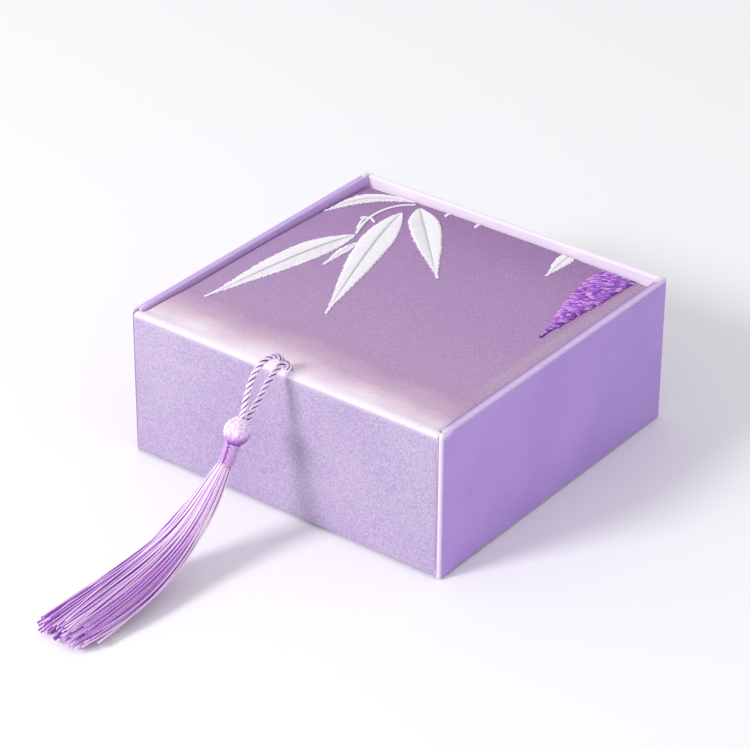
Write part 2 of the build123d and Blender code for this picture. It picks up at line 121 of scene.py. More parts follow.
def leave_edit():
    bpy.ops.object.mode_set(mode="OBJECT")


def smooth(piece, angle):
    """Shades smooth, with creases kept where faces meet more sharply than the angle."""
    take(piece)
    bpy.ops.object.shade_smooth_by_angle(angle=radians(angle))


def outwards(piece):
    """Merges doubled points and turns every face outwards."""
    open_all(piece)
    bpy.ops.mesh.remove_doubles(threshold=DOUBLED)
    bpy.ops.mesh.normals_make_consistent(inside=False)
    leave_edit()


def flat_face(name, places):
    """A filled circle whose points are moved to the places, which are in millimetres."""
    start_clean()
    bpy.ops.mesh.primitive_circle_add(vertices=len(places), radius=1, fill_type="NGON")
    piece = keep_place(name)
    for vertex, place in zip(piece.data.vertices, places):
        vertex.co = Vector(place) * MM
    return piece


def thicken(piece, thickness):
    """Gives one layer of cloth its thickness, on the side that it lies on."""
    cloth = piece.modifiers.new("cloth", "SOLIDIFY")
    cloth.thickness = thickness
    cloth.offset = -1
    take(piece)
    bpy.ops.object.modifier_apply(modifier=cloth.name)


def wobble(x, y, z):
    """Smooth noise around 0 at a place, the same in each run."""
    return noise.noise(Vector((x, y, z)))


def keep_rest(piece):
    """Stores where each point stands at rest, so that a finish stays put when cloth bends."""
    kept = piece.data.attributes.new("rest_place", "FLOAT_VECTOR", "POINT")
    places = [value for vertex in piece.data.vertices for value in vertex.co]
    kept.data.foreach_set("vector", places)


# %% Floor, sky and lamp
start_clean()
bpy.ops.mesh.primitive_plane_add(size=6, location=(0, 0, -0.0002))
floor = keep_place("floor")

lamp_distance = 1.5
lamp_way = Vector((-0.33, -0.78, 0.53)).normalized()
lamp_data = bpy.data.lights.new("key", "AREA")
lamp_data.shape = "DISK"
lamp_data.size = 0.42
lamp_data.energy = 13.5
lamp = bpy.data.objects.new("key", lamp_data)
lamp.matrix_world = (
    Matrix.Translation(lamp_way * lamp_distance)
    @ lamp_way.to_track_quat("Z", "Y").to_matrix().to_4x4()
)
bpy.context.collection.objects.link(lamp)

world = bpy.data.worlds.new("sky")
bpy.context.scene.world = world
world.use_nodes = True
sky_tree = world.node_tree
sky_tree.nodes.clear()
bpy.context.scene.view_settings.view_transform = "Standard"

# %% [markdown]
# ## Shader sums in plain Python
# Cloth is mostly arithmetic: ribs, grain and fading added and multiplied together. `Wire`
# wraps one socket, so that such a sum reads as a sum; each operator adds its Math node.

# %% The Wire class
class Wire:
    """One value in a node tree, which can be used like a number."""

    def __init__(self, tree, socket=None):
        self.tree = tree
        self.socket = socket

    def node(self, kind, settings=None, inputs=None, output=0, stops=None):
        """Adds a node, sets it up, joins its inputs and returns one of its outputs."""
        made = self.tree.nodes.new("ShaderNode" + kind)
        for name, value in (settings or {}).items():
            setattr(made, name, value)
        if stops:
            ramp = made.color_ramp
            while len(ramp.elements) < len(stops):
                ramp.elements.new(0.5)
            for element, (place, tint) in zip(ramp.elements, stops):
                element.position = place
                element.color = colour(*tint)
        for name, value in (inputs or {}).items():
            self.join(value, made.inputs[name])
        return Wire(self.tree, made.outputs[output])

    def join(self, value, target):
        """Feeds a socket from a wire, or gives it a value of its own."""
        if isinstance(value, Wire):
            self.tree.links.new(value.socket, target)
        else:
            target.default_value = value

    def math(self, operation, *values, clamp=False):
        settings = {"operation": operation, "use_clamp": clamp}
        return self.node("Math", settings, dict(enumerate(values)))

    def __add__(self, other):
        return self.math("ADD", self, other)

    def __sub__(self, other):
        return self.math("SUBTRACT", self, other)

    def __mul__(self, other):
        return self.math("MULTIPLY", self, other)

    def __truediv__(self, other):
        return self.math("DIVIDE", self, other)

    def __rsub__(self, other):
        return self.math("SUBTRACT", other, self)

    __radd__ = __add__
    __rmul__ = __mul__

    def sine(self):
        return self.math("SINE", self)

    def size(self):
        return self.math("ABSOLUTE", self)

    def clamp(self):
        return self.math("ADD", self, 0.0, clamp=True)

    def band(self, low, high):
        """0 below low, 1 above high, and a smooth rise between."""
        inputs = {"Value": self, "From Min": low, "From Max": high}
        return self.node("MapRange", {"interpolation_type": "SMOOTHSTEP"}, inputs)


def colour(red, green, blue):
    """A screen colour from 0 to 255 as the light values that shaders use."""
    def light(value):
        share = value / 255
        return share / 12.92 if share <= 0.04045 else ((share + 0.055) / 1.055) ** 2.4
    return (light(red), light(green), light(blue), 1)


class Finish:
    """A material with one Principled shader, whose sums start from object coordinates.

    A finish for cloth that bends starts from the places that keep_rest stored instead.
    """

    def __init__(self, name, bends=False, **constants):
        self.material = bpy.data.materials.new(name)
        self.material.use_nodes = True
        self.tree = self.material.node_tree
        self.shader = self.tree.nodes["Principled BSDF"]
        for socket, value in constants.items():
            self.shader.inputs[socket.replace("_", " ")].default_value = value
        self.wire = Wire(self.tree)
        place = self.stored("rest_place", 1) if bends else self.wire.node("TexCoord", output=3)
        self.place = place
        self.x, self.y, self.z = self.split(place)

    def stored(self, name, output=2):
        """A value that each point of the piece keeps under a name."""
        return self.wire.node("Attribute", {"attribute_name": name}, output=output)

    def split(self, vector):
        """The three coordinates of a vector."""
        parts = self.wire.node("SeparateXYZ", None, {"Vector": vector}).socket.node.outputs
        return [Wire(self.tree, parts[axis]) for axis in "XYZ"]

    def grain(self, scale, detail=2.0, stretch=(1, 1, 1), rough=0.5):
        """Cloudy noise around 0.5, stretched along an axis where its scale is small."""
        sized = self.wire.node("Mapping", None, {"Vector": self.place, "Scale": stretch})
        inputs = {"Vector": sized, "Scale": scale, "Detail": detail, "Roughness": rough}
        return self.wire.node("TexNoise", None, inputs)

    def mix(self, factor, first, second):
        """Mixes two colours, each given as screen values or as a wire."""
        made = self.tree.nodes.new("ShaderNodeMix")
        made.data_type = "RGBA"
        for name, value in {"Factor": factor, "A": first, "B": second}.items():
            target = [s for s in made.inputs if s.name == name and s.enabled][0]
            self.wire.join(colour(*value) if isinstance(value, tuple) else value, target)
        return Wire(self.tree, [s for s in made.outputs if s.enabled][0])

    def feed(self, socket, wire):
        self.tree.links.new(wire.socket, self.shader.inputs[socket])

    def dress(self, piece):
        """Gives a piece this finish."""
        piece.data.materials.append(self.material)

    def bump(self, height, distance, strength):
        """Lets a height, in its own units of distance, tilt the surface."""
        inputs = {"Height": height, "Distance": distance, "Strength": strength}
        self.feed("Normal", self.wire.node("Bump", None, inputs))


# %% The sky and the floor's finish
sky = Wire(sky_tree)
rays = sky.node("LightPath").socket.node.outputs
kinds = ("Is Camera Ray", "Is Glossy Ray", "Is Transmission Ray")
white = sum(Wire(sky_tree, rays[kind]) for kind in kinds).clamp()
sky_light = sky.node("Background", None, {"Color": (0.97, 0.96, 1, 1), "Strength": 0.70})
sky_white = sky.node("Background", None, {"Color": (1, 1, 1, 1), "Strength": 1.0})
sky_mix = sky.node("MixShader", None, {0: white, 1: sky_light, 2: sky_white})
world_output = sky_tree.nodes.new("ShaderNodeOutputWorld")
sky_tree.links.new(sky_mix.socket, world_output.inputs["Surface"])

floor_finish = Finish("floor_paper", Roughness=0.9)
floor_tone = floor_finish.grain(3.0)
floor_finish.feed("Base Color", floor_finish.mix(floor_tone, (252,) * 3, (254,) * 3))
floor_finish.dress(floor)

# %% [markdown]
# ## Satin brocade
# The cover is a fine satin: long smooth weft threads over hidden warp. From a step away it
# shows as a soft grain with faint ribs about half a millimetre apart, a low sheen, and a
# small change of tone from thread to thread.

# %% Cloth finishes
def satin(name, deep, pale, rib=0.00055, sheen=0.25, rough=0.5, gloss=0.35, bends=False):
    """A satin whose tone moves between two colours with grain and ribs."""
    cloth = Finish(
        name, bends, Sheen_Weight=sheen, Sheen_Roughness=0.45, Specular_IOR_Level=gloss
    )
    turn = tau / rib
    ribs = (cloth.x * turn).sine() + (cloth.y * turn).sine() + (cloth.z * turn).sine()
    fine = cloth.grain(4800)
    slub = cloth.grain(2600)
    clouds = cloth.grain(38, 3.0)
    tone = (fine - 0.5) * 2.6 + (slub - 0.5) * 1.6 + (clouds - 0.5) * 0.75 + ribs * 0.05 + 0.5
    cloth.tone = tone.clamp()
    cloth.colour = cloth.mix(cloth.tone, deep, pale)
    cloth.feed("Base Color", cloth.colour)
    cloth.feed("Roughness", (fine - 0.5) * 0.25 + rough)
    cloth.bump(ribs * 0.16 + fine * 0.8 + slub * 0.5, 0.00012, 0.55)
    return cloth


case_cloth = satin("case_satin", (160, 122, 210), (204, 169, 239))


def rim_layers(cloth):
    """Where painted highlights make the case's rims paler than its cloth and painted shade makes
    them darker, and in which colour.
    """
    x, y, z = cloth.x, cloth.y, cloth.z
    cream = (250, 236, 254)
    # Speckle that breaks up the painted highlights below.
    highlight_speckle = (cloth.grain(1800) + 0.15).clamp()
    # Painted sheen: the back rim's top and inner face nearly white where the light catches them.
    back_rim = y.band(0.0466, 0.0476) * z.band(0.0375, 0.0385)
    back_rim = back_rim * (1.0 - x.size().band(0.0485, 0.0492)) * (1.0 - y.band(0.0495, 0.0499))
    # Painted highlight along the right wall's outer top edge, broken into specks.
    right_edge = x.band(0.0492, 0.0496) * z.band(0.0412, 0.0419)
    # Painted shade: a dark line in the gap between the lid and the right rim's inner edge.
    right_gap_shade = x.band(0.0470, 0.0479) * (1.0 - x.band(0.0484, 0.0488))
    right_gap_shade = right_gap_shade * z.band(0.0405, 0.0412) * (1.0 - y.band(0.044, 0.046))
    # Painted light: the left wall's inner face made paler towards its top.
    left_inside = x.band(-0.0486, -0.0481) * (1.0 - x.band(-0.0474, -0.0470))
    # Painted highlight where the walls' tops round over at the front corners.
    front_corner = (1.0 - y.band(-0.0487, -0.0440)) * z.band(0.0400, 0.0415)
    return [
        # Painted highlight: the rims' tops a little paler, as lit from above.
        (z.band(0.0415, 0.0422) * 0.28, (240, 222, 250)),
        (back_rim * 0.9, (253, 244, 254)),
        # Painted highlight: the walls' front ends pale, as on the lit lips.
        ((1.0 - y.band(-0.0497, -0.0488)) * 0.75, cream),
        (right_edge * highlight_speckle * 0.8, cream),
        (right_gap_shade * 0.75, (92, 60, 118)),
        (left_inside * z.band(0.0360, 0.0380) * 0.6, (236, 208, 252)),
        (front_corner * (highlight_speckle * 0.6 + 0.3), cream),
    ]


for share, tint in rim_layers(case_cloth):
    case_cloth.colour = case_cloth.mix(share, case_cloth.colour, tint)
case_cloth.feed("Base Color", case_cloth.colour)

lining_cloth = satin(
    "lining_cloth", (205, 190, 172), (228, 217, 200), rib=0.0007, sheen=0.1, rough=0.75
)
tray_cloth = satin("tray_cloth", (196, 172, 222), (226, 208, 242))
cushion_satin = satin(
    "cushion_satin", (214, 202, 184), (240, 231, 216), rib=0.0006, sheen=0.3, rough=0.4
)


# %% Board, foam, magnet and paper finishes
def plain(name, deep, pale, scale, rough, metal=0.0, relief=0.00004):
    """A matt material with speckle and a slightly uneven surface."""
    made = Finish(name, Metallic=metal)
    speckle = made.grain(scale, 4.0, rough=0.65)
    made.feed("Base Color", made.mix(((speckle - 0.5) * 2.2 + 0.5).clamp(), deep, pale))
    made.feed("Roughness", (speckle - 0.5) * 0.3 + rough)
    made.bump(speckle, relief, 0.5)
    return made


grey_board = plain("grey_board", (150, 146, 138), (186, 182, 172), 900, 0.85)
white_foam = plain("white_foam", (226, 222, 212), (246, 244, 238), 1500, 0.9, relief=0.0001)
nickel = plain("nickel_plate", (176, 176, 180), (206, 206, 210), 300, 0.28, 1.0, 0.00001)
base_paper = plain("base_paper", (150, 124, 178), (178, 152, 202), 700, 0.8)

cad_finishes = {
    grey_board: ["left_wall", "right_wall", "back_wall", "lid_board", "flap_board"],
    tray_cloth: [
        "base_board", "tray_floor", "tray_front_wall", "tray_back_wall", "tray_left_wall",
        "tray_right_wall",
    ],
    white_foam: ["insert_foam", "lid_foam"],
    nickel: ["tray_magnets", "flap_magnets"],
    base_paper: ["bottom_sheet"],
    lining_cloth: ["tray_lining", "lid_lining", "flap_lining", "hinge_cloth"],
    case_cloth: ["case_wrap", "flap_wrap"],
}
for finish, names in cad_finishes.items():
    for name in names:
        for slot in nodes[name].material_slots:
            slot.material = finish.material
print("finished CAD nodes", sum(len(names) for names in cad_finishes.values()))

# %% [markdown]
# ## The tassel's cord
# One twisted cord is doubled: both ends go down into the slot in the roll, and the bend
# sits inside the tassel's head. The line is a smooth curve steered by the route's control
# points; three plies are then wound round that line, as on a real three-ply cord.

# %% The cord's line
slot_exit = Vector((0.0, -0.0475, 0.0420))
cord_points = [
    (-0.4, 0.0, 0.0), (-0.4, -1.2, 3.0), (-0.4, -4.4, 5.6), (-0.5, -9.1, 5.9),
    (-0.7, -12.9, 2.8), (-0.9, -14.9, -2.0), (-1.05, -15.8, -5.8), (-1.1, -17.5, -8.1),
    (-1.2, -18.9, -9.8), (-1.2, -17.87, -11.39), (-1.2, -15.98, -11.19),
    (-1.15, -15.19, -9.14), (-0.7, -13.5, -7.2), (-0.2, -11.15, -4.5), (0.4, -7.4, 0.3),
    (0.8, -3.5, 2.9), (1.1, -0.9, 2.4), (1.2, 0.0, 0.0),
]
cord_controls = [slot_exit + Vector(point) * MM for point in cord_points]


def read_lines(name, all_points, resolution=10):
    """Points along smooth curves, each steered by its own list of control points."""
    data = bpy.data.curves.new(name, "CURVE")
    data.dimensions = "3D"
    for points in all_points:
        spline = data.splines.new("NURBS")
        spline.points.add(len(points) - 1)
        for target, point in zip(spline.points, points):
            target.co = (*point, 1)
        spline.order_u = 3
        spline.use_endpoint_u = True
        spline.resolution_u = resolution
    holder = bpy.data.objects.new(name, data)
    bpy.context.collection.objects.link(holder)
    bpy.context.view_layer.update()
    graph = bpy.context.evaluated_depsgraph_get()
    mesh = bpy.data.meshes.new_from_object(holder.evaluated_get(graph))
    joined = {tuple(sorted(edge.vertices)) for edge in mesh.edges}
    lines = [[]]
    for vertex in mesh.vertices:
        if vertex.index and (vertex.index - 1, vertex.index) not in joined:
            lines.append([])
        lines[-1].append(vertex.co.copy())
    bpy.data.objects.remove(holder)
    bpy.data.meshes.remove(mesh)
    return lines


def read_line(name, points, resolution=10):
    return read_lines(name, [points], resolution)[0]


def length_of(line):
    return sum((b - a).length for a, b in zip(line, line[1:]))


cord_line = read_line("cord_line", cord_controls)
print("cord line", len(cord_line), "points", round(length_of(cord_line) / MM, 2), "mm")

# %% [markdown]
# ## One thread, laid many times
# Cord plies, head, collar and skirt are all thread. One straight thread is modelled from a
# cylinder and cut across into rings; laying it means moving its rings along a line. Each
# laid copy keeps a tone of its own.

# %% The thread and how it is laid
def straight_thread(sides, rings):
    """A capped thread of radius 1 and length 1, as points, faces and face-corner places."""
    start_clean()
    bpy.ops.mesh.primitive_cylinder_add(
        vertices=sides, radius=1, depth=1, end_fill_type="TRIFAN", location=(0, 0, 0.5)
    )
    thread = keep_place("thread")
    mesh = thread.data
    open_all(thread, "DESELECT")
    leave_edit()
    for edge in mesh.edges:
        ends = [mesh.vertices[index].co.z for index in edge.vertices]
        edge.select = abs(ends[0] - ends[1]) > 0.5
    bpy.ops.object.mode_set(mode="EDIT")
    bpy.ops.mesh.select_mode(type="EDGE")
    bpy.ops.mesh.subdivide(number_cuts=rings)
    bpy.ops.mesh.select_mode(type="VERT")
    leave_edit()
    points = [vertex.co.copy() for vertex in mesh.vertices]
    faces = [tuple(face.vertices) for face in mesh.polygons]
    bpy.data.objects.remove(thread)
    return points, faces


def ways_along(line):
    """The direction of a line at each of its points."""
    last = len(line) - 1
    return [(line[min(k + 1, last)] - line[max(k - 1, 0)]).normalized() for k in range(last + 1)]


def frames_along(line):
    """For each point of a line, its distance and two directions square to the line."""
    ways = ways_along(line)
    side = ways[0].orthogonal().normalized()
    frames = []
    distance = 0.0
    for index, way in enumerate(ways):
        side = (side - way * side.dot(way)).normalized()
        if index:
            distance += (line[index] - line[index - 1]).length
        frames.append((line[index], distance, side, way.cross(side)))
    return frames


def place_on(frames, share):
    """The frame at a share of a line's length, between its two nearest points."""
    goal = share * frames[-1][1]
    index = bisect.bisect_left(frames, goal, key=lambda frame: frame[1])
    index = min(max(index, 1), len(frames) - 1)
    first, second = frames[index - 1], frames[index]
    part = (goal - first[1]) / max(second[1] - first[1], 1e-9)
    point = first[0].lerp(second[0], part)
    return point, goal, first[2].lerp(second[2], part), first[3].lerp(second[3], part)


def lay_threads(name, lines, radius, rings, sides=6, taper=None, tones=None, middles=None):
    """Lays one thread along each line and joins the copies into one piece.

    Every point keeps its thread's tone, and how far out it stands from the bundle's
    middle, from 0 in a groove to 1 on a ridge.
    """
    points, faces = straight_thread(sides, rings)
    levels = sorted({round(point.z, 5) for point in points})
    all_points, all_faces, flat, own_tones, out = [], [], [], [], []
    for number, line in enumerate(lines):
        middle_frames = frames_along(middles[number]) if middles else None
        frames = frames_along(line)
        at_level = {level: place_on(frames, level) for level in levels}
        if middle_frames:
            at_middle = {level: place_on(middle_frames, level) for level in levels}
        first = len(all_points)
        for point in points:
            centre, distance, side, up = at_level[round(point.z, 5)]
            size = radius * (taper(point.z) if taper else 1.0)
            laid = centre + (side * point.x + up * point.y) * size
            all_points.append(laid)
            flat.append((atan2(point.y, point.x) / tau, distance / MM))
            if middle_frames:
                away = centre - at_middle[round(point.z, 5)][0]
                way = side.cross(up).normalized()
                away = (away - way * away.dot(way)).normalized()
                out.append(0.5 + 0.5 * (laid - centre).normalized().dot(away))
            else:
                out.append(1.0)
        all_faces.extend(tuple(first + index for index in face) for face in faces)
        own_tones.extend([tones[number] if tones else random.random()] * len(points))
    mesh = bpy.data.meshes.new(name)
    mesh.from_pydata(all_points, [], all_faces)
    layer = mesh.uv_layers.new(name="thread")
    for loop in mesh.loops:
        layer.data[loop.index].uv = flat[loop.vertex_index]
    for label, values in {"thread_tone": own_tones, "thread_out": out}.items():
        kept = mesh.attributes.new(label, "FLOAT", "POINT")
        kept.data.foreach_set("value", [float(value) for value in values])
    mesh.shade_smooth()
    piece = bpy.data.objects.new(name, mesh)
    bpy.context.collection.objects.link(piece)
    print(name, len(lines), "threads", len(all_faces), "faces")
    return piece


# %% Thread finishes
def dye(thread, tone):
    """Spreads a thread's dark, middle and pale colour over a tone from 0 to 1."""
    stops = list(zip((0, 0.5, 1), thread.colours))
    thread.feed("Base Color", thread.wire.node("ValToRGB", None, {"Fac": tone}, stops=stops))


def thread_finish(name, colours, turns, twist, groove, low=0.05, high=0.65):
    """Rayon thread: filaments spiral round it, and painted shade darkens it where it dives into
    a groove.
    """
    made = Finish(name, Sheen_Weight=0.15, Roughness=0.42, Specular_IOR_Level=0.4)
    around, along = made.split(made.wire.node("TexCoord", output=2))[:2]
    made.along = along
    made.own = made.stored("thread_tone")
    out = made.stored("thread_out")
    spiral = ((around * turns + along * twist) * tau).sine()
    fuzz = made.grain(1500)
    made.fine = spiral * 0.12 + (fuzz - 0.5) * 0.4
    # Painted shade: ridge darkens each thread where it dives into a groove, by the share that
    # groove gives.
    made.ridge = out.band(low, high) * groove + (1.0 - groove)
    made.tone = ((made.own * 0.4 + 0.55 + made.fine) * made.ridge).clamp()
    made.colours = colours
    dye(made, made.tone)
    made.bump(spiral * 0.5 + fuzz * 0.5, 0.00008, 0.6)
    return made


cord_thread = thread_finish(
    "cord_thread", [(116, 52, 150), (200, 146, 222), (255, 244, 255)],
    turns=3, twist=1.1, groove=1.0, low=0.50, high=0.80,
)
head_thread = thread_finish(
    "head_thread", [(110, 44, 164), (206, 156, 230), (255, 242, 254)],
    turns=3, twist=0.0, groove=0.75, low=0.45, high=0.98,
)
head_shade = head_thread.z.band(0.0294, 0.0330) * 0.86 + 0.14
patches = (head_thread.grain(2400, stretch=(1, 0.5, 0.22)) - 0.5) * 1.5
head_tone = ((head_thread.tone + patches) * head_shade).clamp()
dye(head_thread, head_tone)
collar_thread = thread_finish(
    "collar_thread", [(90, 30, 132), (190, 122, 212), (252, 224, 254)],
    turns=3, twist=0.0, groove=1.0, low=0.5, high=1.0,
)
from_seam = collar_thread.x + 0.0012
collar_shade = from_seam.size().band(0.00005, 0.0005) * 0.64 + 0.16
dye(collar_thread, collar_thread.tone * collar_shade)

skirt_thread = thread_finish(
    "skirt_thread", [(140, 58, 180), (218, 160, 234), (255, 242, 252)],
    turns=2, twist=1.4, groove=0.9, low=0.40, high=0.88,
)
purpler = skirt_thread.along.band(12.0, 40.0)
upper_tone = (skirt_thread.own * 0.7 + 0.5).clamp()
skirt_tone = upper_tone * (1.0 - purpler) + skirt_thread.own * 0.95 * purpler
skirt_tone = ((skirt_tone * 0.72 + 0.32 + skirt_thread.fine) * skirt_thread.ridge).clamp()
dye(skirt_thread, skirt_tone)

# %% The three plies of the cord
ply_radius = 0.00042
ply_offset = 0.00044
twist_length = 0.0054
ply_count = 3


def ply_line(line, phase):
    """A line wound round another line."""
    wound = []
    for point, distance, side, up in frames_along(line):
        angle = tau * distance / twist_length + phase
        wound.append(point + (side * cos(angle) + up * sin(angle)) * ply_offset)
    return wound


fine_line = read_line("cord_line", cord_controls, 24)
down = Vector((0, 0, -0.0005))
fine_line = [fine_line[0] + down] + fine_line + [fine_line[-1] + down]
cord = lay_threads(
    "tassel_cord_plies",
    [ply_line(fine_line, tau * ply / ply_count) for ply in range(ply_count)],
    ply_radius, rings=320, sides=10, tones=[0.9, 1.0, 0.95], middles=[fine_line] * ply_count,
)
cord_thread.dress(cord)
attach(cord, "tassel")
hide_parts("tassel_cord")

# %% [markdown]
# ## Head and collar
# The head is thread drawn over a ball of cord and tied below; the collar is the same
# thread wound round and round. Both sit on one straight axis that leans away from the box.

# %% The head's threads
head_lean = Vector((-0.035, -0.5, -0.865)).normalized()
head_middle = slot_exit + Vector((-1.2, -18.2, -10.2)) * MM
head_length = 6.8 * MM
head_radius = 3.35 * MM
neck_radius = 2.05 * MM
collar_length = 5.4 * MM
head_top = head_middle - head_lean * (head_length / 2)
head_side = head_lean.cross(Vector((1, 0, 0))).normalized()
head_front = head_lean.cross(head_side)


def on_head(depth, reach, angle):
    """A point at a depth below the head's top and a reach from its axis."""
    out = head_side * cos(angle) + head_front * sin(angle)
    return head_top + head_lean * depth + out * reach


def head_reach(share):
    """How far the head's surface is from its axis, from its top (0) to its neck (1)."""
    ball = sin(pi * min(max(share * 0.86 + 0.05, 0), 1)) ** 0.62
    top = 0.9 * MM
    low = neck_radius * 0.93
    edge = top + (low - top) * share
    return max(head_radius * ball - 0.0002, edge * 0.6)


random.seed(3)
axis_shares = [step / 24 for step in range(25)]
head_lines = []
head_count = 44
head_thread_radius = 0.0003
for number in range(head_count):
    angle = tau * number / head_count
    head_lines.append([
        on_head(head_length * share, head_reach(share), angle + 0.2 * share)
        for share in axis_shares
    ])
axis_line = [on_head(head_length * share, 0, 0) for share in axis_shares]
head = lay_threads(
    "tassel_head_threads", head_lines, head_thread_radius, rings=22,
    tones=[random.uniform(0.75, 1.0) for line in head_lines], middles=[axis_line] * head_count,
)
head_thread.dress(head)
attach(head, "tassel")
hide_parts("tassel_head")

# %% A core inside the head, so that no light shows between its threads
start_clean()
bpy.ops.mesh.primitive_uv_sphere_add(segments=24, ring_count=16, radius=1, location=(0, 0, 0))
turn = head_lean.to_track_quat("Z", "Y").to_matrix().to_4x4()
bpy.context.object.matrix_world = (
    Matrix.Translation(head_middle) @ turn @ Matrix.Diagonal((0.00305, 0.00305, 0.0031, 1))
)
core = keep_place("tassel_head_core")
smooth(core, 80)
head_thread.dress(core)
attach(core, "tassel")

# %% The wound collar
collar_turns = 12
collar_radius = 2.15 * MM
collar_thread_radius = 0.00026
collar_seam = -0.1
collar_steps = collar_turns * 40
collar_line = []
for step in range(collar_steps + 1):
    share = step / collar_steps
    angle = tau * collar_turns * share
    from_seam = (angle - collar_seam + pi) % tau - pi
    waist = 1.0 - 0.06 * sin(pi * share) - 0.24 * exp(-(from_seam / 0.22) ** 2)
    collar_line.append(on_head(
        head_length - 0.0001 + collar_length * share,
        (collar_radius - collar_thread_radius) * waist, angle,
    ))
collar_axis = [on_head(head_length + collar_length * share, 0, 0) for share in axis_shares]
collar = lay_threads(
    "tassel_collar_winding", [collar_line], collar_thread_radius, rings=480, sides=8,
    tones=[1.0], middles=[collar_axis],
)
collar_thread.dress(collar)
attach(collar, "tassel")
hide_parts("tassel_collar")

# %% [markdown]
# ## The skirt
# A hundred and thirty-five loose threads leave the collar together, bend down under their
# own weight and fan out on the table. Each thread keeps its place in the bundle, sways a
# little on its own, and ends a little earlier or later than its neighbours.

# %% The skirt's threads
random.seed(7)
box_front = Vector((0, -0.05, 0))
skirt_stations = [
    ((-1.9, -24.9, 19.3), 3.4, 2.5), ((-2.4, -29.9, 14.8), 4.6, 2.6),
    ((-2.9, -35.3, 11.0), 5.6, 2.7), ((-3.4, -41.5, 8.0), 6.5, 2.7),
    ((-4.2, -50.1, 5.3), 7.8, 2.6), ((-5.0, -59.2, 3.7), 8.6, 2.3),
    ((-5.9, -68.5, 2.5), 8.7, 1.9), ((-6.4, -75.3, 2.0), 8.4, 1.6),
]
skirt_top = head_top + head_lean * (head_length + collar_length - 0.0006)
skirt_middle = [skirt_top] + [box_front + Vector(s[0]) * MM for s in skirt_stations]
skirt_wide = [1.75] + [s[1] for s in skirt_stations]
skirt_thick = [1.7] + [s[2] for s in skirt_stations]
skirt_up = []
for way in ways_along(skirt_middle):
    sideways = (Vector((1, 0, 0)) - way * way.x).normalized()
    skirt_up.append((sideways, sideways.cross(way)))

thread_radius = 0.00031
lowest = thread_radius + 0.00005
golden_angle = 2.399963
skirt_lines = []
skirt_tones = []
skirt_count = 135
for number in range(skirt_count):
    ring = sqrt((number + 0.5) / skirt_count)
    angle = number * golden_angle
    wide_share, up_share = ring * cos(angle), ring * sin(angle)
    phase, sway = random.random() * 6.28, random.uniform(0.2, 1.3)
    controls = []
    for index, middle in enumerate(skirt_middle):
        side, up = skirt_up[index]
        loose = sway * (0.12 + index / len(skirt_middle)) * sin(phase + index * 0.8)
        wide = wide_share * (skirt_wide[index] - 0.3) + loose
        lift = up_share * (skirt_thick[index] - 0.3)
        point = middle + side * wide * MM + up * lift * MM
        point.z = max(point.z, lowest)
        controls.append(point)
    last = controls[-1] - controls[-2]
    controls[-1] = controls[-1] + last * random.uniform(-0.55, 0.5)
    controls[-1].z = max(controls[-1].z, lowest)
    skirt_lines.append(controls)
    facing = max((wide_share - up_share) * 0.71, 0)
    skirt_tones.append(min(1, max(0, 1.2 - 0.95 * facing ** 1.5 + random.uniform(-0.35, 0.25))))
skirt_curves = read_lines("skirt_line", skirt_lines, 3)
skirt = lay_threads(
    "tassel_skirt_threads", skirt_curves, thread_radius, rings=26,
    taper=lambda share: min(1, 0.6 + 2 * share),
    tones=skirt_tones, middles=[read_line("skirt_middle", skirt_middle, 3)] * skirt_count,
)
skirt_thread.dress(skirt)
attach(skirt, "tassel")
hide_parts("tassel_skirt")

# %% [markdown]
# ## The padded lid
# Under the satin lies a board with a thin foam pad on it. Its wrap shows at the lid's sides
# when the lid opens. A cube is subdivided, and its upper points are lifted into the crown.

# %% The pad under the satin
lid_half = 47.6
lid_back = 47.3
flap_half = 48.8
crown_top, crown_y = 41.4, -15
radius_along, radius_across = 1386, 1600
swell_from, swell_over, swell_height = -24, 23.5, 0.92


def crown_height(x, y):
    """Height of the padded lid's satin above the table, in millimetres."""
    return crown_top - (y - crown_y) ** 2 / (2 * radius_along) - x * x / (2 * radius_across)


def cover_height(x, y):
    """The satin's own height, which also swells up towards the front roll."""
    near = min(max((swell_from - y) / swell_over, 0), 1)
    return crown_height(x, y) + swell_height * near * near * (3 - 2 * near)


start_clean()
bpy.ops.mesh.primitive_cube_add(size=1, location=(0, 0, 0))
pad = keep_place("lid_pad")
open_all(pad)
bpy.ops.mesh.subdivide(number_cuts=31)
leave_edit()
pad_bottom = 36.55
pad_gap, pad_depth, pad_edge = 0.08, 0.32, 0.9
for vertex in pad.data.vertices:
    x, y, z = vertex.co
    x, y, rise = x * 2 * (lid_half - pad_gap), y * (lid_back + 47.5) - 0.1, z + 0.5
    top = crown_height(x, y) - pad_depth
    edge = max(abs(x) - (lid_half - pad_edge), y - (lid_back - pad_edge), 0) / pad_edge
    top -= 0.75 * (1 - sqrt(max(0, 1 - min(edge, 1) ** 2)))
    vertex.co = Vector((x, y, pad_bottom + (top - pad_bottom) * rise)) * MM
outwards(pad)
smooth(pad, 50)
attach(pad, "lid")
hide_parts("lid_brocade")

# %% [markdown]
# ## The cover
# One piece of satin covers the padded lid, rolls over its front edge and runs down the
# whole front flap. A grid stands for the cloth; its rows follow the cloth's section from
# the back of the lid to the foot of the flap, and its columns run across the box. The lid
# rises to a gentle crown, so the rows are lifted by it.

# %% The cloth's section
roll_section = [
    (-46.6, 42.06), (-47.1, 42.07), (-47.7, 42.06), (-48.3, 42.02), (-48.8, 41.93),
    (-49.3, 41.80), (-49.7, 41.55), (-49.98, 41.25), (-50.06, 41.05), (-49.94, 40.86),
    (-49.9, 40.72), (-50.02, 40.5), (-50.12, 40.2),
]


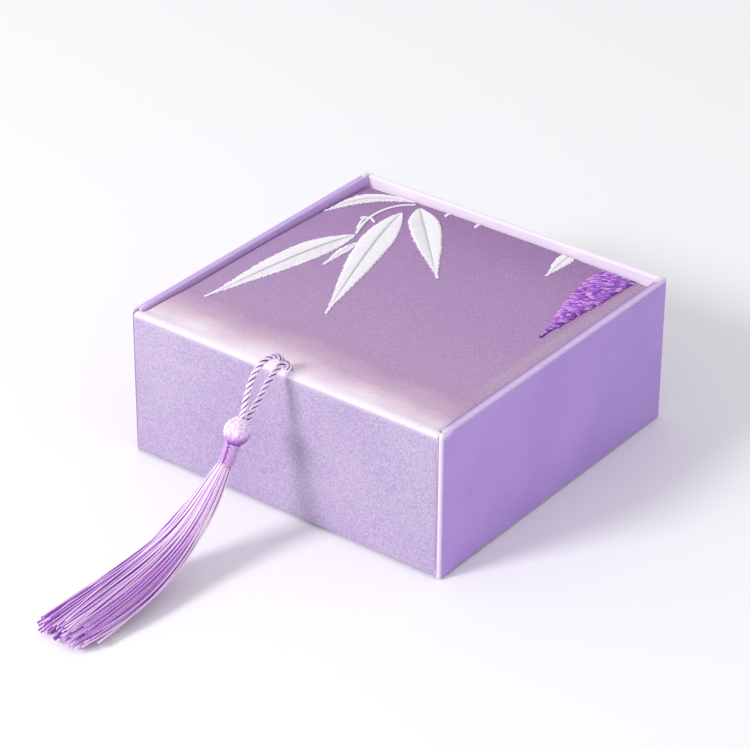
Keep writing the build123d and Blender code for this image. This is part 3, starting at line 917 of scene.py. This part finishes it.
cloth_back, flap_front = 47.42, -50.15
panel_step, flap_step = 1.05, 1.2
hem_section = [(-50.12, 1.1), (-50.0, 0.86), (-49.7, 0.72), (-49.2, 0.72)]


def section_line():
    """The cover's section from the lid's back edge to the flap's foot, as (y, z or None)."""
    rows = [(cloth_back, 38.6), (cloth_back, 39.3), (47.36, None), (47.15, None), (46.8, None)]
    y = 46.2
    while y > -46.0:
        rows.append((y, None))
        y -= panel_step
    rows.extend(roll_section)
    z = 39.6
    while z > 1.4:
        rows.append((flap_front, z))
        z -= flap_step
    return rows + hem_section


section = section_line()
columns = [-1.0, -0.9985, -0.995, -0.99]
columns += [-0.984 + 1.968 * k / 92 for k in range(93)]
columns += [0.99, 0.995, 0.9985, 1.0]

# %% Shape the cover from a grid
start_clean()
bpy.ops.mesh.primitive_grid_add(
    x_subdivisions=len(columns) - 1, y_subdivisions=len(section) - 1, size=2
)
cover = keep_place("cover_cloth")
ordered = sorted(cover.data.vertices, key=lambda v: (round(-v.co.y, 5), round(v.co.x, 5)))


def rounding(distance, radius):
    """How far an edge rounded by the radius has dropped, this near to its end."""
    into = max(0.0, min(1.0, 1 - distance / radius))
    return radius * (1 - sqrt(1 - into * into))


flap_from = -47.9
cloth_gap, side_round = 0.08, 0.8
slit_x, slit_y, slit_depth = 0.4, -47.5, 0.6
for index, vertex in enumerate(ordered):
    row, column = divmod(index, len(columns))
    y, z = section[row]
    half = flap_half if y < flap_from else lid_half
    x = columns[column] * half
    side_drop = rounding(half - abs(x), side_round)
    if z is None:
        z = cover_height(x, y) + cloth_gap - side_drop - rounding(cloth_back - y, side_round)
        z += 0.07 * wobble(x * 0.07, y * 0.07, 0.3)
    elif y < -46 and z > 41.02:
        flow = max(0.0, min(1.0, (y + 48.9) / 2.3))
        z += (crown_height(x, y) - crown_height(0, y)) * flow - side_drop * 0.5
        z += 0.05 * wobble(x * 0.15, y * 0.15, 2.3)
    elif y < -48:
        y += side_drop * 0.6
        y += 0.03 * wobble(x * 0.08, z * 0.08, 5.1)
    else:
        z = min(z, crown_height(x, y) - 1.2)
    if z > 41:
        z -= slit_depth * exp(-((x - slit_x) / 1.5) ** 2 - ((y - slit_y) / 0.6) ** 2)
    vertex.co = Vector((x, y, z)) * MM
outwards(cover)
if sum(face.normal.z for face in cover.data.polygons) < 0:
    open_all(cover)
    bpy.ops.mesh.flip_normals()
    leave_edit()
smooth(cover, 60)

# %% The cover's dyed satin, with painted highlight at the roll and painted shade at the back edge
cover_cloth = satin(
    "cover_satin", (150, 150, 150), (255, 255, 255),
    rib=0.0005, sheen=0.0, rough=0.7, gloss=0.06, bends=True,
)


def cover_tints(cloth):
    """Nearly white at the roll, partly as dye and partly as painted highlight; mauve on the
    panel, with painted shade at its back edge; pale violet below the crease.
    """
    x, y, z = cloth.x, cloth.y, cloth.z
    share = (y * 1000 + 50) / 97.4
    blotches = cloth.grain(60, 3.0)
    wander = share + (blotches - 0.5) * 0.10
    # Ramp: the near-white front stops are partly an ombre dye and partly a painted highlight
    # from the roll; the darker last stop is painted shade along the back edge.
    panel = cloth.wire.node("ValToRGB", None, {"Fac": wander}, stops=[
        (0.00, (250, 238, 252)), (0.03, (250, 237, 248)), (0.06, (236, 216, 230)),
        (0.11, (208, 178, 202)), (0.19, (184, 151, 189)), (0.50, (177, 144, 189)),
        (0.80, (173, 136, 184)), (1.00, (156, 118, 168)),
    ])
    violet = (cloth.grain(28) - 0.5) * 1.6
    panel = cloth.mix(violet.clamp() * 0.3, panel, (168, 134, 190))
    margin = x.band(0.0415, 0.0440) * y.band(-0.046, -0.016) * 0.7
    warp = (x * (tau / 0.0012)).sine()
    weft = (y * (tau / 0.0009)).sine()
    rows = warp * weft
    margin_tone = (rows * 0.22 + 0.5 + (cloth.grain(2600) - 0.5) * 1.6).clamp()
    margin_cloth = cloth.mix(margin_tone, (152, 122, 156), (222, 196, 216))
    panel = cloth.mix(margin, panel, margin_cloth)
    front = cloth.mix(cloth.tone, (160, 142, 184), (204, 189, 213))
    # Painted shade: a soft dark band in the crease under the roll.
    crease = z.band(0.0401, 0.0407) * (1.0 - z.band(0.0408, 0.0413))
    front = cloth.mix(crease * 0.45, front, (138, 116, 166))
    low = (z.band(0.0398, 0.0418) + y.band(-0.0492, -0.0474)).clamp()
    fine = (cloth.grain(4600) - 0.5) * 2.0 + (cloth.grain(2400) - 0.5) * 1.0
    lighter_part = (fine * 0.7 + 0.06).clamp() * 0.5
    darker_part = (0.06 - fine * 0.7).clamp() * 0.5
    grained = cloth.mix(lighter_part, panel, (252, 240, 252))
    darker = cloth.mix(darker_part, grained, (112, 82, 130))
    return cloth.mix(low, front, darker)


cover_cloth.feed("Base Color", cover_tints(cover_cloth))
cover_cloth.dress(cover)
cover_cloth.dress(pad)

# %% [markdown]
# ## The front roll
# A soft strip fills the roll along the lid's front edge. Its outline is pushed across the
# box in short steps, so that it can sag and tuck in at both ends.

# %% The padding inside the front roll
padding_outline = [
    (-47.75, 40.35), (-47.75, 41.3), (-48.0, 41.75), (-48.6, 41.70), (-49.15, 41.50),
    (-49.5, 41.25), (-49.72, 40.98), (-49.7, 40.75), (-49.5, 40.5), (-49.1, 40.32),
    (-48.4, 40.25),
]
padding_half = flap_half - 0.1
padding_steps = 48
padding = flat_face("roll_padding", [(-flap_half + 0.1, y, z) for y, z in padding_outline])
open_all(padding)
for step in range(padding_steps):
    bpy.ops.mesh.extrude_region_move(
        TRANSFORM_OT_translate={"value": ((2 * flap_half - 0.2) / padding_steps * MM, 0, 0)}
    )
leave_edit()
for vertex in padding.data.vertices:
    x, y, z = vertex.co / MM
    tuck = rounding(padding_half - abs(x), 0.7)
    slack = 0.03 * wobble(x * 0.3, y, z)
    middle_y, middle_z = -48.7, 41.0
    squeeze = 1 - min(0.6, tuck * 0.6) + slack
    vertex.co = Vector((
        x, middle_y + (y - middle_y) * squeeze, middle_z + (z - middle_z) * squeeze,
    )) * MM
outwards(padding)
smooth(padding, 60)
cover_cloth.dress(padding)
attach(padding, "lid")
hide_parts("front_roll")

# %% Give the cover its thickness and store where the points of the lid's cloth pieces rest
thicken(cover, 0.00022)
for piece in (pad, padding, cover):
    keep_rest(piece)
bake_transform(cover)

# %% [markdown]
# ## Folded corners
# Where the cloth of the back wall meets that of a side wall, the spare cloth is folded over
# the rim and glued down. Each fold is a small flat that stands a little proud, with soft
# creases across it.

# %% Fold the corners
def corner_fold(name, outline, height):
    """A small folded flat of cloth whose outline is given in millimetres on the rim."""
    fold = flat_face(name, [(x, y, height) for x, y in outline])
    open_all(fold)
    bpy.ops.mesh.poke()
    bpy.ops.mesh.subdivide(number_cuts=5)
    leave_edit()
    middle = sum((Vector(place) for place in outline), Vector((0, 0))) / len(outline)
    for vertex in fold.data.vertices:
        x, y, z = vertex.co / MM
        away = (Vector((x, y)) - middle).length
        z += 0.16 * exp(-(away / 1.2) ** 2)
        z += 0.10 * wobble(x * 1.7, y * 1.7, 4.0) + 0.03 * sin((x + y) * 5)
        outer = max(abs(x) - 49.2, y - 49.2, 0)
        z -= outer ** 2 * 0.9
        vertex.co = Vector((x, y, z)) * MM
    outwards(fold)
    thicken(fold, 0.0002)
    smooth(fold, 50)
    fold_cloth.dress(fold)
    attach(fold, "case")


# The fold satin is the case satin made much paler: a painted sheen, as on the back rim.
fold_cloth = satin("fold_satin", (214, 190, 232), (254, 244, 255), rough=0.42)
fold_height = 42.36
corner_fold("right_corner_fold", [
    (48.0, 45.2), (49.7, 47.0), (49.75, 49.75), (48.4, 49.6), (48.0, 47.9),
], fold_height)
corner_fold("left_corner_fold", [
    (-48.0, 45.8), (-48.0, 47.9), (-46.4, 49.7), (-49.7, 49.75), (-49.75, 47.2),
], fold_height)

# %% [markdown]
# ## Embroidery
# A satin-stitched leaf is two rows of parallel stitches that start at the midrib and end at
# the leaf's edge. Each stitch is one laid thread, arched over a little padding, so the rib
# stays as a groove and the edge looks finely toothed.

# %% Stitches
stitch_radius = 0.00021
stitch_spacing = 0.36
narrowest_stitch, shortest_stitch = 0.42, 0.12
edge_y, edge_x = 46.8, 47.0
pressed_from, pressed_over, pressed_by = 43.5, 2, 0.65
white_leaves = [
    ((-0.637, 0.985), (-0.985, 0.556), 0.310, 0.110, 0.46),
    ((-0.647, 0.423), (-0.853, -0.664), 0.112, -0.060, 0.30),
    ((-0.580, 0.351), (-0.565, 0.030), 0.100, -0.058, 0.36),
    ((-0.616, 0.822), (-0.204, -0.419), 0.086, -0.057, 0.30),
    ((-0.571, 0.937), (0.032, 0.288), 0.100, -0.104, 0.25),
    ((0.412, 1.120), (0.472, 0.713), -0.110, 0.110, 0.42),
]
purple_leaf = ((0.851, 1.310), (0.842, 0.114), -0.025, 0.147, 0.30)
twig_points = [
    (-0.658, 0.448), (-0.693, 0.539), (-0.721, 0.641), (-0.727, 0.736), (-0.718, 0.812),
    (-0.697, 0.871), (-0.668, 0.918), (-0.622, 0.964),
]
spike_width = 0.8
spikes = [((-0.399, 0.947), (-0.404, 1.010)), ((-0.181, 0.941), (-0.193, 1.010))]

hooks = [
    [(-0.692, 0.501), (-0.738, 0.598), (-0.74, 0.647), (-0.705, 0.658), (-0.664, 0.624)],
    [(-0.74, 0.647), (-0.766, 0.644), (-0.754, 0.619)],
]


def on_lid(shares):
    return Vector((shares[0] * lid_half, shares[1] * lid_back))


def swell_at(share, peak):
    """How full a leaf is along its length: 0 at base and tip, 1 at its widest."""
    if share < peak:
        return sin(pi / 2 * share / peak) ** 0.75
    return max(cos(pi / 2 * (share - peak) / (1 - peak)), 0) ** 1.25


def lay_stitch(start, end, base_lift, arch):
    """A stitch between two places on the lid, arched over the cloth, or None off its edge."""
    if min(start.y, end.y) > edge_y:
        return None
    if max(start.y, end.y) > edge_y:
        cut = start.lerp(end, (edge_y - start.y) / (end.y - start.y))
        start, end = (cut, end) if start.y > edge_y else (start, cut)
    if max(abs(start.x), abs(end.x)) > edge_x or (end - start).length < shortest_stitch:
        return None
    line = []
    for step in range(7):
        share = step / 6
        place = start.lerp(end, share)
        pressed = min(max((place.y - pressed_from) / pressed_over, 0), 1) * pressed_by
        lift = (base_lift + arch * sin(pi * share) ** 0.6) * (1 - pressed)
        line.append(Vector((place.x, place.y, cover_height(place.x, place.y) + lift)) * MM)
    return line


def leaf_axis(leaf):
    """A leaf's base, the way from base to tip, and the way square to it."""
    base, tip = on_lid(leaf[0]), on_lid(leaf[1])
    along = tip - base
    return base, along, Vector((-along.y, along.x))


def leaf_stitches(leaf, spacing, slant, rib_gap, rough_edge):
    """Both rows of stitches of one leaf, from its midrib outwards."""
    base, along, left = leaf_axis(leaf)
    peak = leaf[4]
    rib_swell = (leaf[2] + leaf[3]) / 2
    lines = []
    count = int(along.length / spacing)
    for swell in (leaf[2], leaf[3]):
        for number in range(count):
            share = (number + 0.5) / count
            full = swell_at(share, peak)
            lean = slant * full * abs(swell - rib_swell)
            inner = max(share - lean * 0.5, 0)
            outer = min(share + lean * 0.5, 1)
            rib = base + along * inner - left * rib_swell * swell_at(inner, peak)
            edge = base + along * outer - left * swell * swell_at(outer, peak)
            way = (edge - rib).normalized()
            narrowest = narrowest_stitch * min(1, (1 - share) * 60)
            width = max((edge - rib).length, narrowest)
            edge = rib + way * width
            stitch = lay_stitch(
                rib + way * min(rib_gap, width * 0.3),
                edge + way * min(width, 1) * random.uniform(-rough_edge, rough_edge * 0.6),
                0.13, 0.07 + 0.012 * min(width, 6),
            )
            if stitch:
                lines.append(stitch)
    return lines


def cross_stitches(line, width, spacing):
    """Short slanting stitches that cover a drawn line, as embroidered stems have."""
    lines = []
    frames = frames_along([Vector((place.x, place.y, 0)) for place in line])
    count = int(frames[-1][1] / spacing)
    for number in range(count):
        place = place_on(frames, (number + 0.5) / count)[0]
        ahead_place = place_on(frames, min((number + 1.0) / count, 1))[0]
        way = (ahead_place - place).normalized()
        side = Vector((-way.y, way.x, 0))
        start = place - side * width / 2 - way * width * 0.4
        end = place + side * width / 2 + way * width * 0.4
        stitch = lay_stitch(start.xy, end.xy, 0.14, 0.16)
        if stitch:
            lines.append(stitch)
    return lines


random.seed(11)
white_lines = []
for leaf in white_leaves:
    white_lines += leaf_stitches(leaf, stitch_spacing, 1.0, 0.16, 0.42)
twig = read_line("twig", [(*on_lid(place), 0) for place in twig_points])
white_lines += cross_stitches(twig, 0.7, 0.33)
for hook in hooks:
    hook_line = read_line("hook", [(*on_lid(place), 0) for place in hook])
    white_lines += cross_stitches(hook_line, 0.45, 0.30)
for first, last in spikes:
    spike = [on_lid(first).lerp(on_lid(last), k / 6) for k in range(7)]
    white_lines += cross_stitches(spike, spike_width, 0.33)
white_piece = lay_threads("white_leaf_stitches", white_lines, stitch_radius, rings=5, sides=5)
white_thread = thread_finish(
    "white_thread", [(206, 190, 222), (244, 238, 248), (255, 254, 255)],
    turns=2, twist=1.6, groove=0.0,
)
white_thread.dress(white_piece)
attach(white_piece, "lid")
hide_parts("white_leaves")

# %% The purple leaf
def seed_stitches(leaf, spacing, row, reach):
    """Short slanting stitches laid side by side in rows across a whole leaf."""
    base, along, left = leaf_axis(leaf)
    lines, tones = [], []
    count = int(along.length / spacing)
    for number in range(count):
        share = (number + 0.5) / count
        full = swell_at(share, leaf[4])
        first = base + along * share - left * leaf[2] * full
        last = base + along * share - left * leaf[3] * full
        width = (last - first).length
        rows = max(int(width / row), 1)
        for step in range(rows):
            across_share = (step + 0.5 + random.uniform(-0.3, 0.3)) / rows
            middle = first.lerp(last, across_share)
            lean = Vector((0.74, 0.67)) * reach * random.uniform(0.8, 1.2) / 2
            lean = lean * min(1, width / reach)
            stitch = lay_stitch(middle - lean, middle + lean, 0.16, random.uniform(0.1, 0.3))
            if stitch:
                lines.append(stitch)
                tones.append(min(1, across_share * 0.3 + random.random() ** 1.4))
    return lines, tones


under_lines = leaf_stitches(purple_leaf, stitch_spacing, 0.6, -0.3, 0.08)
purple_lines, purple_tones = seed_stitches(purple_leaf, 0.42, 0.95, 1.8)
purple_tones = [0.0] * len(under_lines) + purple_tones
purple_piece = lay_threads(
    "purple_leaf_stitches", under_lines + purple_lines, stitch_radius, rings=5, sides=5,
    tones=purple_tones,
)
purple_thread = thread_finish(
    "purple_thread", [(98, 20, 150), (164, 74, 210), (238, 176, 250)],
    turns=2, twist=1.0, groove=0.0,
)
dye(purple_thread, (purple_thread.own + purple_thread.fine).clamp())
purple_thread.dress(purple_piece)
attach(purple_piece, "lid")
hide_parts("purple_leaf")

# %% [markdown]
# ## The ring cushion
# Inside the tray a foam block has a round groove for a bracelet, with a raised hub in the
# middle. Satin is drawn down over it and tucked into the groove, which gathers it into
# fine pleats. One outline is spun into a round form, and its outer rings are then pushed
# out to the tray's square.

# %% Spin the cushion
cushion_outline = [
    (0.0, 27.15), (4.0, 27.15), (9.0, 27.12), (14.0, 27.08), (18.5, 27.02), (22.0, 26.95),
    (24.0, 26.45), (25.2, 25.4), (25.9, 24.0), (26.1, 22.4), (26.1, 19.6), (26.1, 17.2),
    (26.15, 14.8), (26.5, 12.9),
    (27.4, 11.7), (29.2, 11.15), (31.4, 11.0), (34.6, 11.0), (36.8, 11.15), (38.6, 11.7),
    (39.6, 12.9), (39.9, 14.8), (40.0, 17.2), (40.05, 19.8), (40.2, 22.2), (40.6, 23.6),
    (41.4, 24.55), (42.4, 24.95),
]
rim_shares = [
    (0.30, 25.05), (0.60, 25.05), (0.82, 25.0), (0.94, 24.75), (0.985, 24.2), (1.0, 23.2),
    (1.0, 19.0), (1.0, 14.0), (1.0, 9.0), (1.0, 5.0), (0.985, 3.9), (0.9, 3.75),
]
spin_steps = 216
round_reach = 42.4
rim_span = 3.0
start_clean()
bpy.ops.mesh.primitive_plane_add(size=1, location=(0, 0, 0))
cushion = keep_place("ring_cushion")
outline = [Vector((r, 0, z)) * MM for r, z in cushion_outline]
outline += [
    Vector((round_reach + rim_span * share + 0.01 * k, 0, z)) * MM
    for k, (share, z) in enumerate(rim_shares)
]
form = bmesh.new()
form_points = [form.verts.new(point) for point in outline]
for first, second in zip(form_points, form_points[1:]):
    form.edges.new((first, second))
form.to_mesh(cushion.data)
form.free()
open_all(cushion)
bpy.ops.mesh.spin(steps=spin_steps, angle=tau, center=(0, 0, 0), axis=(0, 0, 1))
bpy.ops.mesh.select_all(action="SELECT")
bpy.ops.mesh.remove_doubles(threshold=DOUBLED)
leave_edit()


def square_reach(angle):
    """How far the tray's square, with slightly rounded corners, reaches at an angle."""
    half_x, half_y, power = 45.9, 45.6, 80
    c, s = abs(cos(angle)), abs(sin(angle))
    return 1 / ((c / half_x) ** power + (s / half_y) ** power) ** (1 / power)


hub_radius, groove_radius = 26, 40
pleat_count = 54
for vertex in cushion.data.vertices:
    x, y, z = vertex.co / MM
    reach = hypot(x, y)
    angle = atan2(y, x)
    if reach > round_reach - 0.01:
        share = min((reach - round_reach) / rim_span, 1.0)
        reach = round_reach + (square_reach(angle) - round_reach) * share
        z += -0.15 * (1 - share) if z > 20 else 0
    wave = wobble(cos(angle) * 9, sin(angle) * 9, 1.7)
    fine_wave = sin(angle * pleat_count + 4 * wave)
    hub_wall = exp(-((reach - hub_radius) / 2.2) ** 2)
    outer_wall = exp(-((reach - groove_radius) / 1.8) ** 2)
    shift = 0.24 * (fine_wave + 1) + 0.14 * (wave + 1)
    reach += shift * (hub_wall - outer_wall) * (1 if z < 24.5 else 0.5)
    z += 0.10 * (fine_wave + 1) * (hub_wall + outer_wall)
    vertex.co = Vector((reach * cos(angle), reach * sin(angle), z)) * MM
outwards(cushion)
open_all(cushion, "DESELECT")
bpy.ops.mesh.select_non_manifold()
bpy.ops.mesh.edge_face_add()
bpy.ops.mesh.select_all(action="SELECT")
bpy.ops.mesh.normals_make_consistent(inside=False)
leave_edit()
smooth(cushion, 70)
cushion_satin.dress(cushion)
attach(cushion, "case")
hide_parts("insert_satin")
print("cushion faces", len(cushion.data.polygons))
